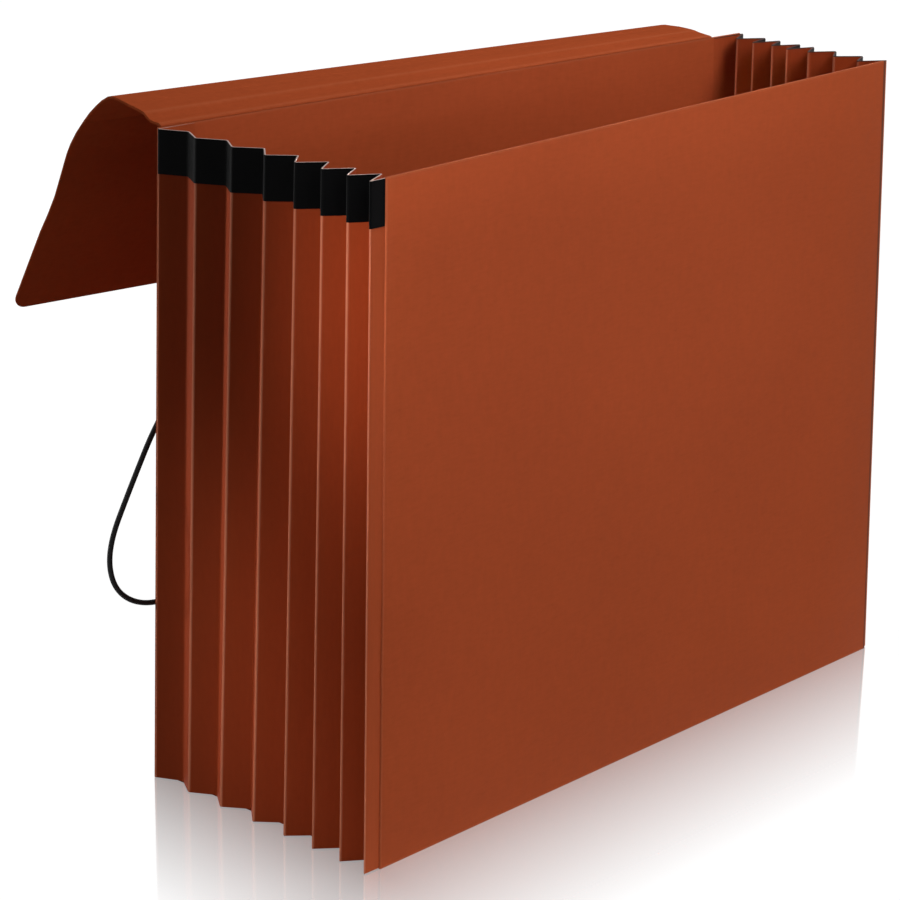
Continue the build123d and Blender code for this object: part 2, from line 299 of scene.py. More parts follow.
class Socket:
    """An output in a material's node tree. Arithmetic on it adds Math nodes."""

    def __init__(self, tree, link=None):
        self.tree = tree
        self.link = link

    def node(self, kind, settings, inputs, output=0):
        """Add a node: its settings first, then the values or links of its sockets."""
        made = self.tree.nodes.new(kind)
        for key, value in settings.items():
            setattr(made, key, value)
        for key, value in inputs.items():
            if isinstance(value, Socket):
                self.tree.links.new(value.link, made.inputs[key])
            else:
                made.inputs[key].default_value = value
        return Socket(self.tree, made.outputs[output]) if made.outputs else None

    def math(self, operation, *terms):
        return self.node("ShaderNodeMath", {"operation": operation}, dict(enumerate(terms)))

    def __add__(self, other):
        return self.math("ADD", self, other)

    def __sub__(self, other):
        return self.math("SUBTRACT", self, other)

    def __rsub__(self, other):
        return self.math("SUBTRACT", other, self)

    def __mul__(self, other):
        return self.math("MULTIPLY", self, other)

    __radd__ = __add__
    __rmul__ = __mul__


def new_finish(name):
    """A material with an empty node tree, and a socket to build it from."""
    finish = bpy.data.materials.new(name)
    finish.use_nodes = True
    finish.node_tree.nodes.clear()
    return finish, Socket(finish.node_tree)


def rgba(colour_value, gain=1.0):
    return (*(min(1.0, channel * gain) for channel in colour_value), 1.0)


def blend_colours(at, factor, first, second):
    """Mix two colours. The node names its sockets alike for all types, so these go by number."""
    return at.node("ShaderNodeMix", {"data_type": "RGBA"}, {0: factor, 6: first, 7: second}, 2)


def ramp_between(at, value, low, high):
    """A soft step from 0 at one value to 1 at another."""
    return at.node("ShaderNodeMapRange", {"interpolation_type": "SMOOTHSTEP"},
                   {"Value": value, "From Min": low, "From Max": high})


def grain(at, where, size, stretch=(1, 1, 1), turn=(0, 0, 0), detail=2.0):
    """Noise with features of about this size in metres, stretched along its own turned axes."""
    placed = at.node("ShaderNodeMapping", {},
                     {"Vector": where, "Rotation": turn, "Scale": tuple(s / size for s in stretch)})
    return at.node("ShaderNodeTexNoise", {}, {"Vector": placed, "Scale": 1.0, "Detail": detail})


def finish_output(at, base, roughness, height, bump_height, gloss, metallic=0.0):
    """Principled shader with a colour, a roughness and a bump that vary over the surface."""
    bump = at.node("ShaderNodeBump", {},
                   {"Height": height, "Strength": BUMP_STRENGTH, "Distance": bump_height})
    shader = at.node("ShaderNodeBsdfPrincipled", {},
                     {"Base Color": base, "Roughness": roughness, "Normal": bump,
                      "Specular IOR Level": gloss, "Metallic": metallic})
    at.node("ShaderNodeOutputMaterial", {}, {"Surface": shader})


def object_place(at):
    return at.node("ShaderNodeTexCoord", {}, {}, "Object")


def attribute(at, name):
    return at.node("ShaderNodeAttribute", {"attribute_name": name}, {}, "Fac")


def axis(at, place, letter):
    return at.node("ShaderNodeSeparateXYZ", {}, {"Vector": place}, letter)


def board_finish(name, colours, gloss, edges=None):
    """Pressed fibre board. Edges is the board's middle, turn and half sizes, for its worn rim and
    for the front board's painted shade along its right edge.
    """
    finish, at = new_finish(name)
    where = object_place(at)
    crease = attribute(at, "crease")
    clouds = grain(at, where, 0.07, detail=3.0)
    felt = grain(at, where, 0.0022, (1, 1, 0.35), (0.0, 0.5, 0.0))
    fibres = grain(at, where, 0.0011, (0.22, 1, 1), (0.0, 0.25, 0.0), 3.0)
    specks = grain(at, where, 0.0006, detail=1.0)
    tone = 0.5 + (clouds - 0.5) * 0.55 + (felt - 0.5) * 0.5 + (fibres - 0.5) * 0.6
    dark, light = (rgba(colours.board, gain) for gain in (DARK_TONE, LIGHT_TONE))
    base = blend_colours(at, tone, dark, light)
    dark_fleck = ramp_between(at, fibres * 0.6 + specks * 0.4, 0.36, 0.28)
    base = blend_colours(at, dark_fleck * 0.22, base, rgba(colours.board, 0.55))
    # Paler along the flap's fold and scores: partly rubbed wear, partly painted highlight on their
    # raised beads
    rubbed_and_highlight = ramp_between(at, crease + (felt - 0.5) * 0.3, 0.2, 1.0)
    base = blend_colours(at, rubbed_and_highlight * 0.3, base, rgba(colours.board_worn_and_highlight))
    if edges:
        middle, turn, half_width, half_height = edges
        local = at.node("ShaderNodeMapping", {"vector_type": "TEXTURE"},
                        {"Vector": where, "Location": middle, "Rotation": (0, 0, turn)})
        across, upward = axis(at, local, "X"), axis(at, local, "Z")
        from_side = half_width - at.math("ABSOLUTE", across)
        from_end = half_height - at.math("ABSOLUTE", upward)
        rim = at.math("MINIMUM", from_side, from_end) + (felt - 0.5) * 0.0006
        worn = ramp_between(at, rim, *WORN_RIM)
        base = blend_colours(at, worn * 0.3, base, rgba(colours.board_edge))
        # Painted shade: a dark band along the front board's right edge stands in for the shade
        # there
        if name.startswith("front"):
            start, end = (half_width - off for off in PAINTED_SHADE_EDGE)
            painted_shade = ramp_between(at, across + (felt - 0.5) * 0.0004, start, end)
            base = blend_colours(at, painted_shade * 0.85, base, rgba(colours.board_shade))
    roughness = 0.58 + (felt - 0.5) * 0.25 + (clouds - 0.5) * 0.1
    height = felt * 0.5 + fibres * 0.6 + specks * 0.25
    finish_output(at, base, roughness, height, 0.00006, gloss)
    return finish


def paper_finish(name, colours, top, rim=LEFT_RIM, rim_colour=None):
    """Strong gusset paper: paler on its folds from wear and painted highlight, board-coloured on
    the flanges that are glued to a board, and with another colour along its top edge."""
    finish, at = new_finish(name)
    where = object_place(at)
    clouds = grain(at, where, 0.05, (1, 1, 0.4), detail=3.0)
    laid = grain(at, where, 0.0012, (1, 1, 0.12))
    felt = grain(at, where, 0.0016, (1, 1, 0.6))
    tone = 0.5 + (clouds - 0.5) * 0.6 + (laid - 0.5) * 0.4 + (felt - 0.5) * 0.4
    lap = attribute(at, "lap")
    dark, light = (blend_colours(at, lap, rgba(colours.paper, gain), rgba(colours.board, gain))
                   for gain in (DARK_TONE, LIGHT_TONE))
    base = blend_colours(at, tone, dark, light)
    crease = attribute(at, "crease")
    # Paler on the outer folds: partly wear, partly painted highlight where the folds catch the
    # light
    worn = ramp_between(at, crease + (laid - 0.5) * 0.15, 0.42, 0.78)
    base = blend_colours(at, worn * 0.75, base, rgba(colours.crease))
    raw = at.math("GREATER_THAN", axis(at, where, "Z"), top - rim)
    base = blend_colours(at, raw * 0.9, base, rgba(rim_colour or colours.raw_edge))
    roughness = 0.52 + (felt - 0.5) * 0.25 + worn * 0.08
    finish_output(at, base, roughness, laid * 0.4 + felt * 0.6, 0.00005, PAPER_GLOSS)
    return finish


def tape_finish(colours):
    """Black woven binding tape."""
    finish, at = new_finish("binding_tape")
    where = object_place(at)
    threads = [
        at.node("ShaderNodeTexWave", {"wave_type": "BANDS", "bands_direction": direction},
                {"Vector": where, "Scale": 620.0, "Distortion": 0.6, "Detail": 1.0}, "Fac")
        for direction in ("Z", "DIAGONAL")
    ]
    weave = threads[0] * 0.6 + threads[1] * 0.4
    felt = grain(at, where, 0.003)
    dark, light = rgba(colours.tape, 0.7), rgba(colours.tape, 2.0)
    base = blend_colours(at, weave * 0.5 + felt * 0.3, dark, light)
    finish_output(at, base, 0.55 + (felt - 0.5) * 0.2, weave, 0.00004, PAPER_GLOSS)
    return finish


def cord_finish(name, colours):
    """Braided elastic."""
    finish, at = new_finish(name)
    where = object_place(at)
    strands = at.node("ShaderNodeTexWave", {"wave_type": "BANDS", "bands_direction": "DIAGONAL"},
                      {"Vector": where, "Scale": 380.0, "Distortion": 1.5, "Detail": 1.0}, "Fac")
    fuzz = grain(at, where, 0.0006)
    dark, light = rgba(colours.cord, 0.6), rgba(colours.cord, 2.6)
    base = blend_colours(at, strands * 0.6 + fuzz * 0.3, dark, light)
    finish_output(at, base, 0.7 + (fuzz - 0.5) * 0.2, strands, 0.00012, CORD_GLOSS)
    return finish


def brass_finish(colours):
    """Rolled brass, a little dulled."""
    finish, at = new_finish("rolled_brass")
    where = object_place(at)
    tarnish = grain(at, where, 0.0018, detail=3.0)
    base = blend_colours(at, tarnish, rgba(colours.brass, 0.75), rgba(colours.brass, 1.1))
    scratches = grain(at, where, 0.0004, (1, 0.1, 1))
    finish_output(at, base, 0.3 + tarnish * 0.2, scratches, 0.00001, METAL_GLOSS, metallic=1.0)
    return finish


def clear_selection():
    if bpy.context.mode != "OBJECT":
        bpy.ops.object.mode_set(mode="OBJECT")
    bpy.ops.object.select_all(action="DESELECT")


def start_plane(name):
    """A plane to shape, open in edit mode."""
    clear_selection()
    bpy.ops.mesh.primitive_plane_add(size=1)
    piece = bpy.context.object
    piece.name = piece.data.name = name
    bpy.ops.object.mode_set(mode="EDIT")
    return piece


def choose(piece, kind, test):
    """Select in edit mode the vertices or edges that pass a test."""
    bpy.context.tool_settings.mesh_select_mode = (kind == "VERT", kind == "EDGE", False)
    bpy.ops.mesh.select_all(action="DESELECT")
    net = bmesh.from_edit_mesh(piece.data)
    parts = net.verts if kind == "VERT" else net.edges
    for part in [part for part in parts if test(part)]:
        part.select_set(True)
    net.select_flush_mode()
    bmesh.update_edit_mesh(piece.data)


def choose_all():
    bpy.ops.mesh.select_all(action="SELECT")


def near(*spots):
    return lambda vertex: any((vertex.co - spot).length < SAME_SPOT for spot in spots)


def put(piece, spot, target):
    """Move the vertex that is at one place to another."""
    choose(piece, "VERT", near(spot))
    bpy.ops.transform.translate(value=target - spot)


def edge_between(ends):
    return lambda edge: all(map(near(*ends), edge.verts))


def extrude(step):
    bpy.ops.mesh.extrude_region_move(TRANSFORM_OT_translate={"value": step})


def sheet_along(name, rails):
    """A thin sheet drawn out from rail to rail; each rail is the two ends of one straight line."""
    piece = start_plane(name)
    targets = [rails[0][0], rails[1][0], rails[0][1], rails[1][1]]
    for corner, target in zip(PLANE_CORNERS, targets):
        put(piece, corner, target)
    for before, after in zip(rails[1:], rails[2:]):
        choose(piece, "EDGE", edge_between(before))
        step = after[0] - before[0]
        extrude(step)
        if (before[1] + step - after[1]).length > NO_STEP:
            put(piece, before[1] + step, after[1])
    return piece


def bevel(size, segments, affect="EDGES"):
    bpy.ops.mesh.bevel(offset=size, offset_type="OFFSET", segments=segments, profile=0.5,
                       affect=affect)


def round_rail(piece, rail, size, segments=4):
    """Round the crease that runs along one rail."""
    choose(piece, "EDGE", edge_between(rail))
    bevel(size, segments)


def thicken(piece, thickness, side=0.0):
    """Give a sheet its thickness: centred, or all to one side of it."""
    bpy.ops.object.mode_set(mode="OBJECT")
    wall = piece.modifiers.new("wall", "SOLIDIFY")
    wall.thickness = thickness
    wall.offset = side
    wall.use_even_offset = True
    bpy.ops.object.modifier_apply(modifier=wall.name)


def smooth(piece, degrees=40.0):
    clear_selection()
    piece.select_set(True)
    bpy.context.view_layer.objects.active = piece
    bpy.ops.object.shade_smooth_by_angle(angle=math.radians(degrees))


def dress(piece, finish, slot=None, *nodes):
    """Give a piece its finish, and say which nodes of the frame it stands for. The slot is not
    used.
    """
    piece.data.materials.clear()
    piece.data.materials.append(finish)
    if nodes:
        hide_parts(*nodes)


def node_feet(node):
    """The lowest corners of an upright sheet of the frame."""
    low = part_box(node)[0]
    return [v.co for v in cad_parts[node].data.vertices if v.co.z < low.z + SAME_LINE]


def plan_line(node):
    """Middle, direction and half length, in plan, of an upright sheet of the frame, at any turn."""
    spots = sorted({(round(foot.x, PLACES), round(foot.y, PLACES)) for foot in node_feet(node)})
    spots = [Vector(spot) for spot in spots]
    middle = sum(spots, Vector((0, 0))) / len(spots)
    apart = sorted(((spot - spots[0]).length, spot) for spot in spots[1:])
    run = apart[-2][1] - spots[0]
    return middle, run.normalized(), run.length / 2


def crossing(first, second):
    """Point in plan where two middle lines cross."""
    (p, d, _), (q, e, _) = first, second
    turn = d.cross(e)
    return p + d * ((q - p).cross(e) / turn)


def lean_span(x, depth, sizes):
    """How far the top of the pocket stands back of its upright place, and its bottom forward.

    Depth runs from 0 at the back board to 1 at the front board.
    """
    low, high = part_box("back_panel")
    across = (x - low.x) / (high.x - low.x)
    ends = [leans[0] * (1 - depth) + leans[-1] * depth for leans in map(FOLD_LEANS.get, SIDES)]
    return (ends[0] * (1 - across) + ends[1] * across) * MM * sizes.fold_lean


def leaned(place, depth, sizes):
    """The place of a point on a board, moved as the folder leans."""
    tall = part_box("back_panel")[1].z
    shift = lean_span(place.x, depth, sizes) * min(1.0, 2 * place.z / tall - 1)
    return Vector((place.x, place.y + shift, place.z))


def lean_mesh(piece, depth, sizes):
    """Lean a finished mesh with the board that it belongs to."""
    for vertex in piece.data.vertices:
        vertex.co = leaned(vertex.co, depth, sizes)


class Gusset:
    """Plan of one side gusset: its sheets, its creases and the rails between them."""

    def __init__(self, side, sizes):
        self.side = side
        pleats = [f"{side}_pleat_{number:02d}" for number in range(1, PLEAT_FACES + 1)]
        self.nodes = [f"back_flange_{side}", *pleats, f"front_flange_{side}"]
        self.bodies = ["back", *pleats, "front"]
        low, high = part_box(pleats[0])
        self.bottom, self.top = low.z, high.z
        lines = [plan_line(node) for node in self.nodes]
        creases = [crossing(a, b) for a, b in zip(lines, lines[1:])]
        folds = [lean * MM * sizes.fold_lean for lean in FOLD_LEANS[side]]
        leans = [0.0] * len(creases)
        leans[::2] = folds
        leans[1::2] = [(a + b) / 2 for a, b in zip(folds, folds[1:])]
        ends = []
        for at, sink, depth in ((0, FLANGE_SINK, 0), (-1, -FLANGE_SINK, 1)):
            (middle, _, half), crease = lines[at], creases[at]
            end = middle + (middle - crease).normalized() * half + Vector((0, sink))
            ends.append((end, lean_span(end.x, depth, sizes)))
        middles = [(a + b) / 2 for a, b in zip(creases, creases[1:])]
        middle_leans = [(a + b) / 2 for a, b in zip(leans, leans[1:])]
        self.creases = list(zip(creases, leans))
        self.middles = [ends[0], *zip(middles, middle_leans), ends[1]]

    def rail(self, spot, low, high):
        """Ends of an upright line of the gusset between two heights."""
        (x, y), lean = spot
        span = self.top - self.bottom
        return [Vector((x, y + lean * (2 * (z - self.bottom) / span - 1), z)) for z in (low, high)]

    def convex(self, number):
        """Which way along X a crease points: outward for the outer folds, inward for the others."""
        outward = -1 if self.side == "left" else 1
        return outward if number % 2 == 0 else -outward

    def joined(self, number):
        """Whether a crease is a hinge; the right gusset's last one is the linkage's open end."""
        return not (self.side == "right" and number == PLEAT_FACES)


def turn_on_crease(piece, rails, sizes):
    """Bake a folded sheet's place into its mesh; the bend along its middle rail is worked out but
    not applied.
    """
    before, crease, after = rails
    reach = BEND_REACH * sizes.crease_round
    into = (crease[0] - before[0]).normalized()
    out = (after[0] - crease[0]).normalized()
    line = (crease[1] - crease[0]).normalized()
    way = (into + out).normalized()
    way -= line * way.dot(line)
    middle = (crease[0] + crease[1]) / 2
    middle - way * reach
    middle + way * reach
    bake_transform(piece)


def store(piece, name, values):
    piece.data.attributes.new(name, "FLOAT", "POINT").data.foreach_set("value", values)


def from_crease(spot, crease):
    """The level way to a spot from a crease, which is given by its lower and upper end."""
    low, high = crease
    return spot - low.lerp(high, (spot.z - low.z) / (high.z - low.z))


def mark_crease(piece, crease, convex, sizes):
    """Store how near each vertex of the convex side is to a crease painted pale, as wear and
    painted highlight, as 1 on it and 0 afar.
    """
    reach = WEAR_AND_HIGHLIGHT_REACH * sizes.crease_round
    nearness = []
    for vertex in piece.data.vertices:
        off = from_crease(vertex.co, crease).to_2d().length
        nearness.append(max(0.0, 1.0 - off / reach) if vertex.normal.x * convex > 0 else 0.0)
    store(piece, "crease", nearness)


def mark_lap(piece, rails, first):
    """Store which vertices are on the flange glued to a board, first or last across the crease."""
    before, crease, after = rails
    way = (crease[0] - before[0]).normalized() + (after[0] - crease[0]).normalized()
    laps = []
    for vertex in piece.data.vertices:
        past = from_crease(vertex.co, crease).dot(way) > 0
        laps.append(0.0 if past == first else 1.0)
    store(piece, "lap", laps)


class FOLDER_OT_knots(bpy.types.Operator):
    """Tie the overhand knots that stop the cord inside the pocket."""

    bl_idname = "folder.knots"
    bl_label = "Stopper knots"

    def execute(self, context):
        sizes, colours = context.scene.folder_sizes, context.scene.folder_colours
        finish = cord_finish("knotted_elastic", colours)
        for side in SIDES:
            node = f"cord_knot_{side}"
            low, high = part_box(node)
            middle = leaned((low + high) / 2, 0, sizes)
            clear_selection()
            bpy.ops.curve.primitive_nurbs_circle_add(radius=(high.x - low.x) / 2)
            knot = context.object
            knot.name = knot.data.name = f"overhand_knot_{side}"
            bpy.ops.object.mode_set(mode="EDIT")
            bpy.ops.curve.select_all(action="SELECT")
            bpy.ops.curve.subdivide(number_cuts=2)
            bpy.ops.object.mode_set(mode="OBJECT")
            spline = knot.data.splines[0]
            wide, deep = KNOT_ACROSS * (high.x - low.x), KNOT_DEEP * (high.y - low.y)
            count = len(spline.points)
            for index, point in enumerate(spline.points):
                turn = math.tau * index / count
                across = wide * (math.sin(turn) + 2 * math.sin(2 * turn))
                upward = wide * (math.cos(turn) - 2 * math.cos(2 * turn))
                inward = -deep * math.sin(3 * turn)
                point.co = (middle.x + across, middle.y + inward, middle.z + upward, 1.0)
            knot.data.dimensions = "3D"
            knot.location = (0, 0, 0)
            knot.data.bevel_depth = KNOT_CORD * sizes.cord_diameter
            knot.data.bevel_resolution = CORD_FACETS
            bpy.ops.object.convert(target="MESH")
            knot = context.object
            smooth(knot, degrees=60.0)
            dress(knot, finish, "cord_black", node)
            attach(knot, "back")
        return {"FINISHED"}


class FOLDER_OT_cord(bpy.types.Operator):
    """Make the elastic loop on the back board."""

    bl_idname = "folder.cord"
    bl_label = "Elastic cord"

    def execute(self, context):
        sizes, colours = context.scene.folder_sizes, context.scene.folder_colours
        clear_selection()
        line = bpy.data.curves.new("elastic_loop", "CURVE")
        line.dimensions = "3D"
        spline = line.splines.new("NURBS")
        spline.points.add(len(CORD_ROUTE) - 1)
        for point, place in zip(spline.points, CORD_ROUTE):
            point.co = (*(value * MM for value in place), 1.0)
        spline.order_u = 3
        spline.use_endpoint_u = True
        spline.resolution_u = 12
        line.bevel_depth = sizes.cord_diameter / 2
        line.bevel_resolution = CORD_FACETS
        cord = bpy.data.objects.new("elastic_loop", line)
        context.scene.collection.objects.link(cord)
        dress(cord, cord_finish("braided_elastic", colours), "cord_black", "elastic_cord")
        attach(cord, "back")
        return {"FINISHED"}


class FOLDER_OT_boards(bpy.types.Operator):
    """Make the front and back boards with their worn edges, and painted shade along the front
    board's right edge.
    """

    bl_idname = "folder.boards"
    bl_label = "Boards"

    def execute(self, context):
        sizes, colours = context.scene.folder_sizes, context.scene.folder_colours
        for place in ("front", "back"):
            node = f"{place}_panel"
            low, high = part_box(node)
            middle, run, half = self.outline(node)
            turn = math.atan2(run.y, run.x)
            tall = high.z - low.z
            clear_selection()
            bpy.ops.mesh.primitive_cube_add(size=1, location=(*middle, (low.z + high.z) / 2),
                                            rotation=(0, 0, turn))
            board = context.object
            board.name = board.data.name = f"{place}_board"
            board.scale = (2 * half, sizes.board_thickness, tall)
            bpy.ops.object.transform_apply(location=True, rotation=True, scale=True)
            bpy.ops.object.mode_set(mode="EDIT")
            if place == "front":
                corner = middle - run * half + Vector((run.y, -run.x)) * sizes.board_thickness / 2
                choose(board, "EDGE", lambda edge: all((v.co.to_2d() - corner).length < SAME_LINE
                                                       for v in edge.verts))
                bevel(WORN_EDGE, segments=3)
            self.slice(Vector((*middle, 0)), run.to_3d(), 2 * half)
            self.slice(Vector((*middle, (low.z + high.z) / 2)), Vector((0, 0, 1)), tall)
            choose(board, "EDGE", lambda edge: edge.calc_face_angle(0.0) > SHARP_EDGE)
            bevel(sizes.board_round, segments=2)
            bpy.ops.object.mode_set(mode="OBJECT")
            lean_mesh(board, 1 if place == "front" else 0, sizes)
            smooth(board, degrees=50.0)
            edges = ((*middle, (low.z + high.z) / 2), turn, half, tall / 2)
            finish = board_finish(f"{place}_fibre_board", colours, BOARD_GLOSS, edges)
            dress(board, finish, "board_brown", node)
            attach(board, place)
        return {"FINISHED"}

    @staticmethod
    def slice(middle, way, span):
        """Cut the board across into equal parts, so that it can lean."""
        for part in range(1, BOARD_PARTS):
            choose_all()
            cut = middle + way * span * (part / BOARD_PARTS - 0.5)
            bpy.ops.mesh.bisect(plane_co=cut, plane_no=way)

    @staticmethod
    def outline(node):
        """Middle, direction and half length, in plan, of a long sheet that runs along X."""
        low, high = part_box(node)
        feet = node_feet(node)
        left = [foot.to_2d() for foot in feet if foot.x < low.x + END_BAND]
        right = [foot.to_2d() for foot in feet if foot.x > high.x - END_BAND]
        start = sum(left, Vector((0, 0))) / len(left)
        end = sum(right, Vector((0, 0))) / len(right)
        run = end - start
        return (start + end) / 2, run.normalized(), run.length / 2


class FOLDER_OT_gussets(bpy.types.Operator):
    """Make the pleated side gussets, one folded sheet over each crease."""

    bl_idname = "folder.gussets"
    bl_label = "Side gussets"

    def execute(self, context):
        sizes, colours = context.scene.folder_sizes, context.scene.folder_colours
        for side in SIDES:
            gusset = Gusset(side, sizes)
            rim = () if side == "left" else (RIGHT_RIM, colours.dark_edge)
            finish = paper_finish(f"{side}_gusset_paper", colours, gusset.top, *rim)
            for number, crease in enumerate(gusset.creases):
                spots = [gusset.middles[number], crease, gusset.middles[number + 1]]
                rails = [gusset.rail(spot, gusset.bottom, gusset.top) for spot in spots]
                self.fold(gusset, number, rails, sizes, finish)
        return {"FINISHED"}

    @staticmethod
    def fold(gusset, number, rails, sizes, finish):
        bodies = gusset.bodies[number:number + 2]
        nodes = gusset.nodes[number:number + 2]
        name = f"{gusset.side}_crease_{number:02d}"
        if gusset.joined(number):
            piece = sheet_along(name, rails)
            round_rail(piece, rails[1], sizes.crease_round)
            thicken(piece, sizes.paper_thickness)
            mark_crease(piece, rails[1], gusset.convex(number), sizes)
            if number in (0, PLEAT_FACES):
                mark_lap(piece, rails, number == 0)
            smooth(piece)
            dress(piece, finish, "gusset_paper", *nodes)
            turn_on_crease(piece, rails, sizes)
            return
        runs = (rails[:2], rails[1:])
        for part, run, body, node in zip(("pleat", "flange"), runs, bodies, nodes):
            piece = sheet_along(f"{name}_{part}", run)
            thicken(piece, sizes.paper_thickness)
            mark_crease(piece, rails[1], gusset.convex(number), sizes)
            mark_lap(piece, rails, False)
            smooth(piece)
            dress(piece, finish, "gusset_paper", node)
            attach(piece, body)


class FOLDER_OT_tape(bpy.types.Operator):
    """Make the black tape that binds the mouth of the side gussets."""

    bl_idname = "folder.tape"
    bl_label = "Binding tape"

    def execute(self, context):
        sizes, colours = context.scene.folder_sizes, context.scene.folder_colours
        finish = tape_finish(colours)
        board_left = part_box("front_panel")[0].x
        for side in SIDES:
            gusset = Gusset(side, sizes)
            low, high = gusset.top - sizes.tape_height, gusset.top - TAPE_DROPS[side]
            outward = 1.0 if side == "left" else -1.0
            for number, crease in enumerate(gusset.creases):
                spots = [gusset.middles[number], crease, gusset.middles[number + 1]]
                lap = TAPE_LAP * sizes.crease_round
                if number == 0:
                    spots[0] = self.beside(crease, spots[0], lap)
                if number == PLEAT_FACES:
                    if side == "left":
                        lap = board_left - crease[0].x - TAPE_END_GAP
                    spots[2] = self.beside(crease, spots[2], lap)
                rails = [gusset.rail(spot, low, high) for spot in spots]
                joined = gusset.joined(number)
                piece = sheet_along(f"{side}_tape_{number:02d}", rails if joined else rails[:2])
                if joined:
                    round_rail(piece, rails[1], sizes.crease_round)
                thicken(piece, sizes.paper_thickness / 2 + sizes.tape_thickness, outward)
                smooth(piece)
                dress(piece, finish)
                bodies = gusset.bodies[number:number + 2]
                if joined:
                    turn_on_crease(piece, rails, sizes)
                else:
                    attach(piece, bodies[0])
        return {"FINISHED"}

    @staticmethod
    def beside(crease, spot, distance):
        """A place on the way from a crease to another spot."""
        (start, lean), (end, _) = crease, spot
        return start + (end - start).normalized() * distance, lean


class FOLDER_OT_bottom(bpy.types.Operator):
    """Make the folded bottom of the pocket and its flanges. The bottom is one fixed piece, which
    does not narrow as the folder closes.
    """

    bl_idname = "folder.bottom"
    bl_label = "Bottom gusset"

    def execute(self, context):
        sizes, colours = context.scene.folder_sizes, context.scene.folder_colours
        low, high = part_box("bottom_gusset")
        finish = paper_finish("bottom_gusset_paper", colours, NO_RIM)
        rails = self.creases(low, high, sizes)
        piece = sheet_along("pocket_bottom", rails)
        for rail in rails[1:-1]:
            round_rail(piece, rail, sizes.crease_round, segments=3)
        self.flatten_ends(piece, low.x + 2 * BOTTOM_RUN_OUT, high.x - 2 * BOTTOM_RUN_OUT)
        thicken(piece, CORNER_THICKNESS)
        smooth(piece)
        dress(piece, finish, "gusset_paper", "bottom_gusset")
        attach(piece, "back")
        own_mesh(piece)
        for place in ("back", "front"):
            self.flange(place, sizes, finish)
        return {"FINISHED"}

    @staticmethod
    def creases(low, high, sizes):
        """Rails of the folded bottom, back to front, reaching out to the sides' inner folds."""
        corners = [v.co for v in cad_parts["bottom_gusset"].data.vertices]
        ends = []
        for x in (low.x, high.x):
            lines = {}
            for corner in corners:
                if abs(corner.x - x) < SAME_LINE:
                    lines.setdefault(round(corner.y, PLACES), set()).add(round(corner.z, PLACES))
            places = sorted(lines, reverse=True)
            spots = [Vector((x, y, sum(lines[y]) / len(lines[y]))) for y in places]
            spots[0].y += BOTTOM_TUCK
            spots[-1].y -= BOTTOM_TUCK
            ends.append(spots)
        rails = []
        reaches = [[Gusset(side, sizes).creases[number][0].x + outward * BOTTOM_LAP
                    for number in (1, PLEAT_FACES - 1)] for side, outward in zip(SIDES, (-1, 1))]
        for number, (left, right) in enumerate(zip(*ends)):
            depth = number / (len(ends[0]) - 1)
            run = (right - left) / (right.x - left.x)
            spots = [left + run * (first * (1 - depth) + last * depth - left.x)
                     for first, last in reaches]
            rails.append([leaned(spot, depth, sizes) for spot in spots])
        return rails

    @staticmethod
    def flatten_ends(piece, left, right):
        """Press the pleats of the bottom flat where they run out under the side gussets."""
        for x in (left - BOTTOM_RUN_OUT, left, right, right + BOTTOM_RUN_OUT):
            choose_all()
            bpy.ops.mesh.bisect(plane_co=(x, 0, 0), plane_no=(1, 0, 0))
        choose(piece, "VERT", lambda vertex: not left - SAME_LINE < vertex.co.x < right + SAME_LINE)
        bpy.ops.transform.resize(value=(1, 1, 0), center_override=(0, 0, CORNER_THICKNESS / 2))

    @staticmethod
    def flange(place, sizes, finish):
        """The bottom's glued edge inside a board."""
        node = f"{place}_flange_bottom"
        low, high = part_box(node)
        middle, run, half = FOLDER_OT_boards.outline(node)
        depth = 1 if place == "front" else 0
        rails = []
        for step in range(FLANGE_PARTS + 1):
            spot = middle + run * half * (2 * step / FLANGE_PARTS - 1)
            rails.append([leaned(Vector((*spot, z)), depth, sizes) for z in (low.z, high.z)])
        piece = sheet_along(f"{place}_bottom_flange", rails)
        thicken(piece, sizes.paper_thickness)
        smooth(piece)
        dress(piece, finish, "gusset_paper", node)
        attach(piece, place)


class FOLDER_OT_corners(bpy.types.Operator):
    """Close the foot of each outer fold with the folded-in corner of the bottom."""

    bl_idname = "folder.corners"
    bl_label = "Bottom corners"

    def execute(self, context):
        sizes, colours = context.scene.folder_sizes, context.scene.folder_colours
        finish = paper_finish("bottom_corner_paper", colours, NO_RIM)
        for side in SIDES:
            gusset = Gusset(side, sizes)
            for number in range(0, PLEAT_FACES + 1, 2):
                spots = [gusset.creases[at] if 0 <= at <= PLEAT_FACES else gusset.middles[end]
                         for at, end in ((number - 1, 0), (number, 0), (number + 1, -1))]
                joined = gusset.joined(number)
                foot = CORNER_FOOT if joined else OPEN_CORNER_FOOT
                rails = [gusset.rail(spot, foot, foot + CORNER_THICKNESS) for spot in spots]
                piece = start_plane(f"{side}_bottom_corner_{number:02d}")
                choose(piece, "VERT", lambda vertex: vertex.co.x > 0 and vertex.co.y > 0)
                bpy.ops.mesh.delete(type="VERT")
                for corner, rail in zip(PLANE_CORNERS, rails):
                    put(piece, corner, rail[0])
                choose_all()
                bpy.ops.mesh.edge_face_add()
                bpy.ops.mesh.normals_make_consistent(inside=False)
                extrude((0, 0, CORNER_THICKNESS))
                choose_all()
                bpy.ops.mesh.normals_make_consistent(inside=False)
                bpy.ops.object.mode_set(mode="OBJECT")
                smooth(piece)
                dress(piece, finish, "gusset_paper")
                if joined:
                    turn_on_crease(piece, rails, sizes)
                else:
                    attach(piece, "front")
        return {"FINISHED"}


